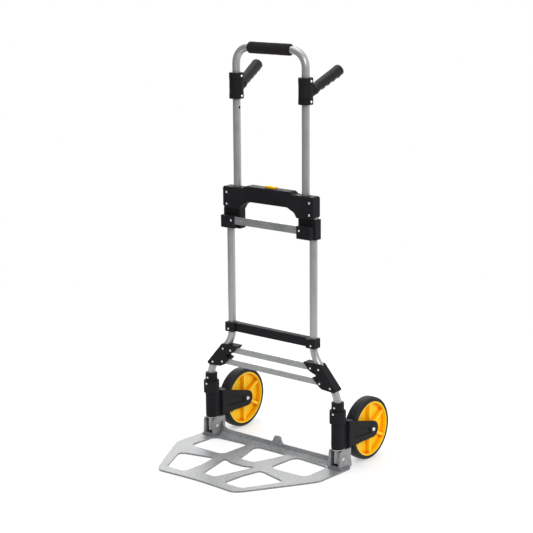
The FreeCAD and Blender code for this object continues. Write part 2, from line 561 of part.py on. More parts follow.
# ---- gussets and flat bars -------------------------------------------------------------------
gusset_outline = [(base_x + x, base_h + h, radius)
                  for base_x, base_h, corners in ((MAST_X, BEND_TOP_H, GUSSET_HIGH),
                                                  (COLUMN_X, BEND_LOW_H, GUSSET_FOOT),
                                                  (MAST_X, BEND_TOP_H, GUSSET_INNER))
                  for x, h, radius in corners]
gusset_radii = [radius for _, _, radius in gusset_outline]
gusset_outline = [(x, h) for x, h, _ in gusset_outline]
gusset = fillet(slab(gusset_outline, (-GUSSET_HALF_T, GUSSET_HALF_T), "xz", gusset_radii), 1.5,
                lambda edge: all(abs(abs(v.Y) - GUSSET_HALF_T) < 1e-6 for v in edge.Vertexes)
                and edge.Vertexes[0].Y * edge.Vertexes[-1].Y > 0)
bars, bar_slots = [], []
slope = (COLUMN_X - MAST_X) / (BEND_TOP_H - BEND_LOW_H)
for low, high in GUSSET_BARS:
    end = MAST_X + (BEND_TOP_H - high) * slope - TUBE_R / math.cos(math.atan(slope)) - 1.5
    bars.append((end, low, high))
    bar_slots.append(box((0, end + SEAT_GAP), (-GUSSET_BAR_Y - SEAT_GAP, -GUSSET_BAR_Y + FLAT_T + SEAT_GAP),
                         (low - SEAT_GAP, high + SEAT_GAP)))
gusset_holes = [rivet_hole(x, h, -THROUGH, -TUBE_R + BLIND if i % 2 == 0 else THROUGH)
                for i, (x, h) in enumerate(GUSSET_RIVETS)]
keep_pair("gusset", cut(gusset, mast_solid, *bar_slots, *gusset_holes))
for name, (end, low, high) in zip(("upper_flat_bar", "lower_flat_bar"), bars):
    bar = box((-end, end), (-GUSSET_BAR_Y, -GUSSET_BAR_Y + FLAT_T), (low, high))
    keep(name, cut(bar, *map(both, gusset_holes)))
keep("gusset_rivets", Part.makeCompound(
    [rivet(side * x, -GUSSET_HALF_T, h,
           GUSSET_HALF_T - TUBE_R - BLIND_END if i % 2 == 0 else 2 * GUSSET_HALF_T - 2)
     for side in (-1, 1) for i, (x, h) in enumerate(GUSSET_RIVETS)]))

# ---- column collars, springs, washers, plugs -------------------------------------------------
def column(radius, span):
    return rod(radius, (COLUMN_X, 0, span[0]), (COLUMN_X, 0, span[1]))


column_bore = column(TUBE_R + SEAT_GAP, (TUBE_FOOT_H, CAP_H[1] - CAP_LIP))
skirt = cut(column(SKIRT_R, SKIRT_H), column(SKIRT_R - SKIRT_WALL, (SKIRT_H[0] - 1, SKIRT_H[1] - 3)))
skirt = fillet(skirt, 1.5, lambda edge: is_circle(edge) and abs(edge.Curve.Radius - SKIRT_R) < 1e-6)
cap_solid = fillet(column(CAP_R, (CAP_H[0] - CAP_LIP, CAP_H[1])), 1.5,
                   lambda edge: abs(edge.Vertexes[0].Z - CAP_H[1]) < 1e-6)
skirt_rivet_hole = rivet_hole(COLUMN_X, COLLAR_RIVETS[1], -THROUGH, -SKIRT_R + SKIRT_WALL + 1)
keep_pair("column_collar", cut(fuse(skirt, cap_solid), mast_solid, column_bore, skirt_rivet_hole,
                               cap_rivet_hole))
collar_grips = ((CAP_R, 2 * CAP_R - 6), (SKIRT_R, SKIRT_WALL + 1))
keep("collar_rivets", Part.makeCompound(
    [rivet(side * COLUMN_X, -radius, h, grip)
     for side in (-1, 1) for (radius, grip), h in zip(collar_grips, COLLAR_RIVETS)]))
spring_r = (TUBE_R + SKIRT_R - SKIRT_WALL) / 2
keep_pair("swing_spring", coil(spring_r - 1, SPRING_WIRE, SKIRT_H[1] - 3 - SLEEVE_H[1] - 2 * SEAT_GAP, 4,
                               (COLUMN_X, 0, SLEEVE_H[1] + SEAT_GAP), (0, 0, 1)))
washer_low = SLEEVE_H[0] - WASHER_T - 0.2
keep_pair("thrust_washer", cut(column(WASHER_R, (washer_low, washer_low + WASHER_T)), column_bore))
plug = fuse(column(PLUG_R, (PLUG_LOW_H, TUBE_FOOT_H)), column(TUBE_R - TUBE_WALL - SEAT_GAP,
            (TUBE_FOOT_H, -FOLD_PIN_R - 3)))
keep_pair("tube_end_plug", plug)

# ---- wheel forks -----------------------------------------------------------------------------
wheel_x = COLUMN_X + WHEEL_OFFSET
axle_h = (WHEEL_R - PIN_H - WHEEL_BACK * math.sin(math.radians(LEAN))) / math.cos(math.radians(LEAN))


def across(radius, low, high):
    """A cylinder on the axle line, between two offsets from the wheel plane."""
    return rod(radius, (wheel_x + low, WHEEL_BACK, axle_h), (wheel_x + high, WHEEL_BACK, axle_h))


def fork_arm(low_x, high_x):
    """A flat arm: straight edges from its root, tangent to the round end about the axle."""
    centre = V(low_x, WHEEL_BACK, axle_h)
    roots, touches = [], []
    for root_h, side in ((ARM_ROOT_H[0], -1), (ARM_ROOT_H[1], 1)):
        root = V(low_x, ARM_ROOT_Y, root_h)
        way = centre - root
        turn = math.atan2(way.z, way.y) + side * (math.pi / 2 + math.asin(ARM_END_R / way.Length))
        roots.append(root)
        touches.append(centre + V(0, math.cos(turn), math.sin(turn)) * ARM_END_R)
    end = centre + V(0, ARM_END_R, 0)
    curves = [Part.LineSegment(roots[0], touches[0]), Part.Arc(touches[0], end, touches[1]),
              Part.LineSegment(touches[1], roots[1]), Part.LineSegment(roots[1], roots[0])]
    outline = Part.Wire([curve.toShape() for curve in curves])
    return Part.Face(outline).extrude(V(high_x - low_x, 0, 0))


arms = [fork_arm(*sorted((wheel_x + side * ARM_IN, wheel_x + side * ARM_OUT))) for side in (-1, 1)]
arms = [fillet(arm, 1.5, lambda edge, side=side: all(
    abs(v.X - wheel_x - side * ARM_OUT) < 1e-6 for v in edge.Vertexes)) for side, arm in zip((-1, 1), arms)]
crown = box((wheel_x - ARM_OUT + 0.5, wheel_x + ARM_OUT - 0.5),
            (ARM_ROOT_Y - 4, ARM_ROOT_Y + CROWN_DEPTH), ARM_ROOT_H)
tyre_clear = across(WHEEL_R + TYRE_GAP, -ARM_IN, ARM_IN)
neck = box((COLUMN_X - SLEEVE_R + 1, COLUMN_X + SLEEVE_R - 1), (0, ARM_ROOT_Y),
           (ARM_ROOT_H[0], SKIRT_H[0] - 2))
fork_body = fuse(column(SLEEVE_R, SLEEVE_H), neck, crown, *arms)
skirt_clear = column(SKIRT_R + SLIDE_GAP + 0.4, (SKIRT_H[0] - 1, SKIRT_H[1]))
skirt_clear = skirt_clear.cut(column(SLEEVE_R, (SKIRT_H[0] - 5, SKIRT_H[1] + 5)))
pocket_points = [(ARM_ROOT_Y + 22, ARM_ROOT_H[0] + 22), (ARM_ROOT_Y + 22, ARM_ROOT_H[1] - 24),
                 (WHEEL_BACK - 20, axle_h + 13), (WHEEL_BACK - 16, axle_h - 8)]
pockets = []
for side in (-1, 1):
    pocket = slab(pocket_points, (wheel_x + side * (ARM_OUT - POCKET), wheel_x + side * (ARM_OUT + 2)),
                  "yz", POCKET_ROUND)
    pockets.append(pocket)
fork_bore = column(TUBE_R + SLIDE_GAP, (TUBE_FOOT_H, CAP_H[1]))


axle_hole = across(AXLE_R + SEAT_GAP, -ARM_OUT - 1, ARM_OUT + 1)
keep_pair("wheel_fork", cut(fork_body, tyre_clear, skirt_clear, axle_hole, fork_bore, *pockets))
heads = [Part.makeCone(*AXLE_HEAD, V(wheel_x + side * ARM_OUT, WHEEL_BACK, axle_h), V(side, 0, 0))
         for side in (-1, 1)]
keep_pair("axle", fuse(across(AXLE_R, -ARM_OUT, ARM_OUT), *heads))

# ---- wheels ----------------------------------------------------------------------------------
tyre = fillet(across(WHEEL_R, -TYRE_W / 2, TYRE_W / 2), TYRE_SHOULDER, is_circle)
keep_pair("tyre", cut(tyre, across(RIM_R, -TYRE_W, TYRE_W)))
face_cut = []
for side in (-1, 1):
    dish = across(RIM_R - RIM_LIP, side * WEB_HALF_T, side * TYRE_W)
    face_cut.append(dish.cut(across(WHEEL_HUB_R, -TYRE_W, TYRE_W)))
rim = cut(across(RIM_R - SEAT_GAP, -RIM_W / 2, RIM_W / 2), *face_cut)
hub_solid = across(WHEEL_HUB_R, -HUB_W / 2, HUB_W / 2)
spokes = []
for k in range(SPOKES):
    spoke = box((wheel_x - RIM_W / 2 + SPOKE_INSET, wheel_x + RIM_W / 2 - SPOKE_INSET),
                (WHEEL_BACK - SPOKE_W / 2, WHEEL_BACK + SPOKE_W / 2),
                (axle_h + WHEEL_HUB_R - 3, axle_h + RIM_R - RIM_LIP + 1))
    spoke.rotate(V(wheel_x, WHEEL_BACK, axle_h), V(1, 0, 0), 360.0 * k / SPOKES)
    spokes.append(spoke)
keep_pair("wheel_rim", cut(fuse(rim, hub_solid, *spokes), across(BUSH_R + SEAT_GAP, -HUB_W, HUB_W)))
keep_pair("wheel_bush", cut(across(BUSH_R, -HUB_W / 2, HUB_W / 2),
                            across(AXLE_R + BUSH_GAP, -HUB_W, HUB_W)))

# ---- toe plate -------------------------------------------------------------------------------
ear_in = COLUMN_X - BRACKET_HALF
half_plate = [(PLATE_NOSE_HALF, -PLATE_FRONT), (PLATE_NOSE_HALF + 20, 25 - PLATE_FRONT),
              (PLATE_HALF - 24, PLATE_SIDE_Y - 47), (PLATE_HALF, PLATE_SIDE_Y),
              (PLATE_HALF, PLATE_REAR - 36), (PLATE_HALF - 22, PLATE_REAR), (ear_in - 5, PLATE_REAR),
              (ear_in - 16, PLATE_EDGE)]
half_radii = [30, 16, 90, 60, 16, 14, 4, 8]
plate = slab([(0, -PLATE_FRONT + PLATE_FRONT_DIP)] + half_plate + [(-x, y) for x, y in half_plate[::-1]],
             (0, PLATE_T), "xy", [PLATE_DIP_R] + half_radii + half_radii[::-1])
window_rear = RAIL_Y[0] - 7
window_nose = 39 - PLATE_FRONT
rear_window = [(94, PLATE_SIDE_Y - 3), (94, window_rear), (PLATE_HALF - 56, window_rear - 11),
               (PLATE_HALF - 54, PLATE_SIDE_Y + 1)]
nose_window = [(92, PLATE_SIDE_Y - 42), (79, window_nose + 88), (77, window_nose),
               (PLATE_NOSE_HALF, window_nose), (PLATE_HALF - 75, PLATE_SIDE_Y - 74)]
middle_rear = [(-66, window_rear), (66, window_rear), (28, PLATE_SIDE_Y + 2), (-28, PLATE_SIDE_Y + 2)]
middle_nose = [(-62, PLATE_SIDE_Y - 27), (-24, PLATE_SIDE_Y - 43), (24, PLATE_SIDE_Y - 43),
               (62, PLATE_SIDE_Y - 27), (24, window_nose + 25), (-24, window_nose + 25)]
through = (-PLATE_T, 2 * PLATE_T)
windows = [slab(middle_rear, through, "xy", 18),
           slab(middle_nose, through, "xy", [6, 30, 30, 6, 12, 12])]
for side in (-1, 1):
    for outline, radii in ((rear_window, 24), (nose_window, [12, 60, 18, 22, 18])):
        windows.append(slab([(side * x, y) for x, y in outline], through, "xy", radii))
rail_profile = [(RAIL_Y[0], PLATE_T - 1), (RAIL_Y[1] - 4, RAIL_TOP - 12), (RAIL_Y[1], RAIL_TOP),
                (PLATE_EDGE, RAIL_TOP), (PLATE_EDGE, PLATE_T - 1)]
wing_root = ear_in - SEAT_GAP
rail = slab(rail_profile, (-wing_root, wing_root), "yz", [0, 12, 2, 2, 0])
tab_half = [(TAB_R, TAB_TOP), (TAB_HALF - 4, RAIL_TOP + 2), (TAB_HALF + 8, RAIL_TOP - 2)]
tab = slab(tab_half + [(-x, z) for x, z in tab_half[::-1]], (RAIL_Y[1], PLATE_EDGE), "xz",
           [9, 14, 0, 0, 14, 9])
wing = slab([(wing_root, RAIL_TOP - 1), (wing_root, WING_TOP), (wing_root - 5, WING_TOP),
             (wing_root - 9, RAIL_TOP + 6), (wing_root - WING_REACH, RAIL_TOP),
             (wing_root - WING_REACH, RAIL_TOP - 1)],
            (RAIL_Y[1], PLATE_EDGE), "xz", [0, 0, 3, 14, 0, 0])
keep("toe_plate", cut(fuse(plate, rail, tab, wing, mirror(wing)), *windows), leaned=False)

# ---- toe plate brackets and fold pins --------------------------------------------------------
ear_outline = [(-BRACKET_FRONT, PLATE_T + SEAT_GAP), (-BRACKET_FRONT, PIN_H + EAR_TOP),
               (BRACKET_BACK, PIN_H + EAR_TOP), (BRACKET_BACK, PIN_H), (BRACKET_BACK + 6, PLATE_T + 5),
               (BRACKET_BACK + 6, PLATE_T + SEAT_GAP)]
bracket = slab(ear_outline, (COLUMN_X - BRACKET_HALF, COLUMN_X + BRACKET_HALF), "yz",
               [0, EAR_CORNER_R, 5, 40, 2, 0])
bay_x = (COLUMN_X - BRACKET_BAY, COLUMN_X + BRACKET_BAY)
bay_back = BRACKET_BACK - BRACKET_BACK_WALL
bay_top = PIN_H + EAR_TOP + 1
bay = fuse(rod(bay_back, (bay_x[0], 0, PIN_H), (bay_x[1], 0, PIN_H)),
           box(bay_x, (-THROUGH, bay_back), (PIN_H, bay_top)), box(bay_x, (-THROUGH, 0), (0, bay_top)))
bay = bay.common(box(bay_x, (-THROUGH, bay_back), (BRACKET_BASE, bay_top)))
base_flange = slab([(COLUMN_X - BRACKET_HALF, -BRACKET_FRONT - 4), (PLATE_HALF - 4, -BRACKET_FRONT - 4),
                    (PLATE_HALF - 4, PLATE_REAR - 38), (PLATE_HALF - 24, PLATE_REAR - 4),
                    (COLUMN_X - BRACKET_HALF, PLATE_REAR - 4)],
                   (PLATE_T + SEAT_GAP, PLATE_T + FLANGE_T), "xy", [2, 5, 14, 10, 6])
pin_seat = rod(FOLD_PIN_R + SEAT_GAP, (COLUMN_X - THROUGH, 0, PIN_H), (COLUMN_X + THROUGH, 0, PIN_H))
keep_pair("toe_bracket", cut(fuse(bracket, base_flange), bay, pin_seat), leaned=False)
fold_pin = fuse(rod(FOLD_PIN_R, (COLUMN_X - BRACKET_HALF, 0, PIN_H), (COLUMN_X + BRACKET_HALF, 0, PIN_H)),
                *[Part.makeCone(FOLD_PIN_R + 1.8, FOLD_PIN_R, 1.6,
                                V(COLUMN_X + side * BRACKET_HALF, 0, PIN_H), V(side, 0, 0))
                  for side in (-1, 1)])
keep("fold_pins", both(fold_pin), leaned=False)

# ---- write -----------------------------------------------------------------------------------
for name, shape in sorted(OUT.items()):
    solids = shape.Solids
    print(name, "solids", len(solids), "valid", shape.isValid(), "cm3 %.1f" % (shape.Volume / 1000))
    if len(solids) == 1:
        shape = solids[0]
    shape.exportStep("parts/" + name + ".step")
print(len(OUT), "nodes")
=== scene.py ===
# %% [markdown]
# # A folding hand truck, finished in Blender
# The metal and plastic parts of this truck are already designed to size, and they arrive as a
# fixed frame. What is left is what the eye judges: satin paint, moulded plastic, rubber, foam
# and bright rivets. This first cell loads the frame and gives a helper for the box round a part.

# %% Load the frame
import json
import math

import bpy
from mathutils import Matrix, Vector, noise


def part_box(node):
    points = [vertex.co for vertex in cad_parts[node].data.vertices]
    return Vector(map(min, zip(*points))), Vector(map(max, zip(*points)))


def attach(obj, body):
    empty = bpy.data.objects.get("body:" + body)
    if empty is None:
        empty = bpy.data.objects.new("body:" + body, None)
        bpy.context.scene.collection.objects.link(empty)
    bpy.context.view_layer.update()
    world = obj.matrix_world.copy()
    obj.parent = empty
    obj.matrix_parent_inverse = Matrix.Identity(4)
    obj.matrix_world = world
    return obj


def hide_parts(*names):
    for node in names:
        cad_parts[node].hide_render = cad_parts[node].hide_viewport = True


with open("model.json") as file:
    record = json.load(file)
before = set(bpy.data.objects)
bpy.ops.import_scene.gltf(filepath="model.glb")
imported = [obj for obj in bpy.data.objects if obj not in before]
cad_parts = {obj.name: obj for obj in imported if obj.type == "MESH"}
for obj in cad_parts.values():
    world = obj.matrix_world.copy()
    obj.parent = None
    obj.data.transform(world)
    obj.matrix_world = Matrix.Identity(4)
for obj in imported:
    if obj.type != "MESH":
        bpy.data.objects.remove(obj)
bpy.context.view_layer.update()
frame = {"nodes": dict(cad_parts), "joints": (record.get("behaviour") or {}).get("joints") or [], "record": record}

nodes = frame["nodes"]
MM = 0.001

# %% [markdown]
# ## The camera
# A long lens a few metres away keeps the uprights nearly parallel, as in a catalogue.
# The camera is placed by where it aims, how far it turns round the truck, how high it looks
# from and how far it rolls, because those are the numbers that a person would change.

# %% Camera
AIM = Vector((0.0219, -0.0785, 0.6175))
TURN, HEIGHT, ROLL = (math.radians(angle) for angle in (38.25, 11.39, 1.15))
DISTANCE = 4.542
LENS_MM, SENSOR_MM = 100.23, 36.0

away = Vector((math.sin(TURN) * math.cos(HEIGHT),
               -math.cos(TURN) * math.cos(HEIGHT),
               math.sin(HEIGHT)))
level = Vector((math.cos(TURN), math.sin(TURN), 0.0))
upward = away.cross(level)
side_way = level * math.cos(ROLL) + upward * math.sin(ROLL)
up_way = upward * math.cos(ROLL) - level * math.sin(ROLL)
camera = bpy.data.objects.new("camera", bpy.data.cameras.new("camera"))
camera.data.lens = LENS_MM
camera.data.sensor_width = SENSOR_MM
camera.matrix_world = Matrix.Translation(AIM + away * DISTANCE) @ Matrix(
    (side_way, up_way, away)).transposed().to_4x4()
bpy.context.scene.collection.objects.link(camera)
bpy.context.scene.camera = camera
print("camera stands at", [round(value, 3) for value in camera.matrix_world.translation])

# %% [markdown]
# ## Floor and studio light
# Satin metal shows what surrounds it, so the room matters more than the lamps. The surroundings
# are nearly white, a little darker low down and on one side, which draws a soft dark edge along
# each tube. Three large panels then model the round forms without hard shadows.

# %% Surroundings
def wire(tree, source, target):
    """Joins two sockets of a node tree."""
    tree.links.new(source, target)


world = bpy.data.worlds.new("studio")
world.use_nodes = True
bpy.context.scene.world = world
bpy.context.scene.view_settings.view_transform = "Standard"
sky = world.node_tree
WHITE = (1.0, 1.0, 1.0, 1.0)
DARK_SIDE = (0.30, 0.31, 0.32, 1.0)
WHITE_FROM = 0.55        # where the fade from the dark side has reached white
background = sky.nodes["Background"]
place = sky.nodes.new("ShaderNodeTexCoord")
turned = sky.nodes.new("ShaderNodeMapping")
turned.inputs["Rotation"].default_value = (0.0, math.radians(62.0), math.radians(-58.0))
fade = sky.nodes.new("ShaderNodeTexGradient")
shades = sky.nodes.new("ShaderNodeValToRGB")
shades.color_ramp.elements[0].color = DARK_SIDE
shades.color_ramp.elements[1].color = WHITE
shades.color_ramp.elements[1].position = WHITE_FROM
seen = sky.nodes.new("ShaderNodeLightPath")
pale = sky.nodes.new("ShaderNodeMix")
pale.data_type = "RGBA"
pale.inputs["B"].default_value = WHITE
wire(sky, place.outputs["Generated"], turned.inputs["Vector"])
wire(sky, turned.outputs["Vector"], fade.inputs["Vector"])
wire(sky, fade.outputs["Color"], shades.inputs["Fac"])
wire(sky, seen.outputs["Is Camera Ray"], pale.inputs["Factor"])
wire(sky, shades.outputs["Color"], pale.inputs["A"])
wire(sky, pale.outputs["Result"], background.inputs["Color"])
background.inputs["Strength"].default_value = 1.0
print("surroundings:", len(sky.nodes), "nodes")

# %% Panels of light
def light_panel(name, place_at, aim_at, width, power):
    """A square area lamp that faces a point. width is in metres and power in watts."""
    lamp = bpy.data.lights.new(name, "AREA")
    lamp.size = width
    lamp.energy = power
    panel = bpy.data.objects.new(name, lamp)
    panel.location = place_at
    panel.rotation_euler = (Vector(aim_at) - Vector(place_at)).to_track_quat("-Z", "Y").to_euler()
    bpy.context.scene.collection.objects.link(panel)


chest = (0.0, 0.0, 0.7)
light_panel("key_panel", (2.6, -2.2, 2.6), chest, 1.6, 62.0)
light_panel("top_panel", (-0.4, -0.4, 3.4), chest, 2.4, 40.0)
light_panel("rear_panel", (-2.4, 2.4, 1.9), chest, 1.6, 34.0)
print("three panels light the truck")

# %% Floor
FLOOR_REACH, FLOOR_DROP = 2.6, 0.3 * MM
PAPER_DARK, PAPER_LIGHT, PAPER_GLOW = 0.56, 0.60, 0.42
PAPER_WHOLE, PAPER_GONE = 0.9, 2.4        # metres from the middle

floor_mesh = bpy.data.meshes.new("floor")
corners = [(x * FLOOR_REACH, y * FLOOR_REACH, -FLOOR_DROP)
           for x, y in ((-1, -1), (1, -1), (1, 1), (-1, 1))]
floor_mesh.from_pydata(corners, [], [(0, 1, 2, 3)])
floor = bpy.data.objects.new("floor", floor_mesh)
bpy.context.scene.collection.objects.link(floor)
print("floor reaches", FLOOR_REACH, "m each way")

# %% Paper on the floor
paper = bpy.data.materials.new("studio_paper")
paper.use_nodes = True
paper_shader = paper.node_tree.nodes["Principled BSDF"]
paper_shader.inputs["Roughness"].default_value = 0.9
paper_shader.inputs["Specular IOR Level"].default_value = 0.1
paper_tone = paper.node_tree.nodes.new("ShaderNodeTexNoise")
paper_tone.inputs["Scale"].default_value = 1.5
paper_ramp = paper.node_tree.nodes.new("ShaderNodeValToRGB")
for element, grey in zip(paper_ramp.color_ramp.elements, (PAPER_DARK, PAPER_LIGHT)):
    element.color = (grey, grey, grey, 1.0)
wire(paper.node_tree, paper_tone.outputs["Fac"], paper_ramp.inputs["Fac"])
paper_shader.inputs["Emission Color"].default_value = WHITE
paper_shader.inputs["Emission Strength"].default_value = PAPER_GLOW
wire(paper.node_tree, paper_ramp.outputs["Color"], paper_shader.inputs["Base Color"])
# The paper thins out to nothing well behind the truck, so no horizon line crosses the view.
paper_place = paper.node_tree.nodes.new("ShaderNodeTexCoord")
from_middle = paper.node_tree.nodes.new("ShaderNodeVectorMath")
from_middle.operation = "LENGTH"
thins = paper.node_tree.nodes.new("ShaderNodeMapRange")
thins.interpolation_type = "SMOOTHSTEP"
for label, number in (("From Min", PAPER_WHOLE), ("From Max", PAPER_GONE),
                      ("To Min", 1.0), ("To Max", 0.0)):
    thins.inputs[label].default_value = number
wire(paper.node_tree, paper_place.outputs["Object"], from_middle.inputs[0])
wire(paper.node_tree, from_middle.outputs["Value"], thins.inputs["Value"])
wire(paper.node_tree, thins.outputs["Result"], paper_shader.inputs["Alpha"])
floor_mesh.materials.append(paper)
print("paper is whole to", PAPER_WHOLE, "m and gone at", PAPER_GONE, "m")

# %% [markdown]
# ## Effects that several finishes share
# Real parts have no perfectly sharp edge, no perfectly even colour and no perfectly smooth
# skin. Each of these effects is one small node group, built once: soft edges with wear, which on
# the yellow rim is also a painted highlight, fine grain, broad patches, drawn lines and painted
# shade in hollows. A group gives out only normals, masks and values, and each material decides
# what to do with them.

# %% A helper for node groups
def new_group(name, inputs, outputs):
    """An empty shader group. inputs are (name, kind, value) and outputs are (name, kind)."""
    group = bpy.data.node_groups.new(name, "ShaderNodeTree")
    for label, kind, value in inputs:
        socket = group.interface.new_socket(label, in_out="INPUT", socket_type="NodeSocket" + kind)
        socket.default_value = value
    for label, kind in outputs:
        group.interface.new_socket(label, in_out="OUTPUT", socket_type="NodeSocket" + kind)
    return group, group.nodes.new("NodeGroupInput"), group.nodes.new("NodeGroupOutput")


def calculate(tree, operation, first, second):
    """A Math node. Each operand is a socket or a number."""
    node = tree.nodes.new("ShaderNodeMath")
    node.operation = operation
    for socket, value in zip(node.inputs, (first, second)):
        if isinstance(value, (int, float)):
            socket.default_value = value
        else:
            wire(tree, value, socket)
    return node.outputs["Value"]


def remap(tree, value, low, high, new_low, new_high):
    """Carries a value from one range to another, kept inside the new one."""
    node = tree.nodes.new("ShaderNodeMapRange")
    for label, number in (("From Min", low), ("From Max", high),
                          ("To Min", new_low), ("To Max", new_high)):
        node.inputs[label].default_value = number
    wire(tree, value, node.inputs["Value"])
    return node.outputs["Result"]


def noise_at(tree, position, scale, detail=2.0):
    """Noise in cycles a metre. scale is a socket or a number."""
    node = tree.nodes.new("ShaderNodeTexNoise")
    node.inputs["Detail"].default_value = detail
    wire(tree, position, node.inputs["Vector"])
    if isinstance(scale, (int, float)):
        node.inputs["Scale"].default_value = scale
    else:
        wire(tree, scale, node.inputs["Scale"])
    return node.outputs["Fac"]


def object_place(tree):
    """Where a point lies on its own part, so a pattern travels with the part."""
    return tree.nodes.new("ShaderNodeTexCoord").outputs["Object"]


print("group helpers are ready")

# %% Soft edges, their wear and a painted edge highlight
soft_edge, given, result = new_group(
    "soft_edge", [("Radius", "Float", 0.6 * MM)], [("Normal", "Vector"), ("Wear_and_highlight", "Float")])
rounded = soft_edge.nodes.new("ShaderNodeBevel")
rounded.samples = 6
facing = soft_edge.nodes.new("ShaderNodeNewGeometry")
alike = soft_edge.nodes.new("ShaderNodeVectorMath")
alike.operation = "DOT_PRODUCT"
wire(soft_edge, given.outputs["Radius"], rounded.inputs["Radius"])
wire(soft_edge, rounded.outputs["Normal"], alike.inputs[0])
wire(soft_edge, facing.outputs["Normal"], alike.inputs[1])
turned_away = calculate(soft_edge, "SUBTRACT", 1.0, alike.outputs["Value"])
# The paler edge, which is wear and on the yellow rim also a painted highlight, comes in flecks,
# about 260 a metre, and starts where the edge has turned a little.
flecks = noise_at(soft_edge, object_place(soft_edge), 260.0, 4.0)
broken = remap(soft_edge, flecks, 0.38, 0.62, 0.25, 1.0)
wear_and_highlight_edge = remap(soft_edge, turned_away, 0.02, 0.2, 0.0, 1.0)
wire(soft_edge, calculate(soft_edge, "MULTIPLY", wear_and_highlight_edge, broken), result.inputs["Wear_and_highlight"])
wire(soft_edge, rounded.outputs["Normal"], result.inputs["Normal"])
print("soft_edge:", len(soft_edge.nodes), "nodes")

# %% Fine grain
fine_grain, given, result = new_group(
    "fine_grain", [("Scale", "Float", 900.0)], [("Height", "Float"), ("Tone", "Float")])
here = object_place(fine_grain)
pebbles = fine_grain.nodes.new("ShaderNodeTexVoronoi")
wire(fine_grain, here, pebbles.inputs["Vector"])
wire(fine_grain, given.outputs["Scale"], pebbles.inputs["Scale"])
ripple_scale = calculate(fine_grain, "MULTIPLY", given.outputs["Scale"], 0.6)
ripple = noise_at(fine_grain, here, ripple_scale, 3.0)
skin = calculate(fine_grain, "ADD", pebbles.outputs["Distance"], ripple)
wire(fine_grain, skin, result.inputs["Height"])
wire(fine_grain, remap(fine_grain, ripple, 0.3, 0.7, -1.0, 1.0), result.inputs["Tone"])
print("fine_grain:", len(fine_grain.nodes), "nodes")

# %% Broad patches
broad_patch, given, result = new_group(
    "broad_patch", [("Scale", "Float", 14.0)], [("Shift", "Float")])
cloud = noise_at(broad_patch, object_place(broad_patch), given.outputs["Scale"], 3.0)
wire(broad_patch, remap(broad_patch, cloud, 0.35, 0.65, -1.0, 1.0), result.inputs["Shift"])
print("broad_patch:", len(broad_patch.nodes), "nodes")

# %% Drawn lines
# Stretch says how many lines a metre lie along X, Y and Z: a small number runs with the lines.
drawn_lines, given, result = new_group(
    "drawn_lines", [("Stretch", "Vector", (4.0, 900.0, 900.0))],
    [("Height", "Float"), ("Tone", "Float")])
stretched = drawn_lines.nodes.new("ShaderNodeVectorMath")
stretched.operation = "MULTIPLY"
wire(drawn_lines, object_place(drawn_lines), stretched.inputs[0])
wire(drawn_lines, given.outputs["Stretch"], stretched.inputs[1])
lines = noise_at(drawn_lines, stretched.outputs["Vector"], 1.0, 4.0)
wire(drawn_lines, lines, result.inputs["Height"])
wire(drawn_lines, remap(drawn_lines, lines, 0.3, 0.7, -1.0, 1.0), result.inputs["Tone"])
print("drawn_lines:", len(drawn_lines.nodes), "nodes")

# %% Shade in hollows
hollow_shade, given, result = new_group(
    "hollow_shade", [("Reach", "Float", 12.0 * MM)], [("Shade", "Float")])
closed_in = hollow_shade.nodes.new("ShaderNodeAmbientOcclusion")
closed_in.samples = 6
wire(hollow_shade, given.outputs["Reach"], closed_in.inputs["Distance"])
depth = remap(hollow_shade, closed_in.outputs["AO"], 0.35, 0.95, 1.0, 0.0)
wire(hollow_shade, depth, result.inputs["Shade"])
print("hollow_shade:", len(hollow_shade.nodes), "nodes")

# %% [markdown]
# ## One recipe for a finish
# Every finish here is layered the same way: a base colour and a drift of tone across it, as on
# the real truck, a darker painted shade in hollows, a paler edge that is wear and on the yellow rim
# also a painted highlight, then grain as a bump. So one function builds them all, and each material
# is a short row of numbers that can be compared.

# %% The recipe
PATCH_ROUGHNESS, GRAIN_ROUGHNESS, COAT_ROUGHNESS = 0.05, 0.03, 0.25


def blend_colour(tree, mask, first, second):
    """A colour Mix node. mask is a socket, and first and second are sockets or colours."""
    node = tree.nodes.new("ShaderNodeMix")
    node.data_type = "RGBA"
    for label, value in (("A", first), ("B", second)):
        if isinstance(value, tuple):
            node.inputs[label].default_value = (*value, 1.0)
        else:
            wire(tree, value, node.inputs[label])
    wire(tree, mask, node.inputs["Factor"])
    return node.outputs["Result"]


def use_group(tree, group, **values):
    """Places a shared effect in a material with its own values."""
    node = tree.nodes.new("ShaderNodeGroup")
    node.node_tree = group
    for label, value in values.items():
        node.inputs[label].default_value = value
    return node


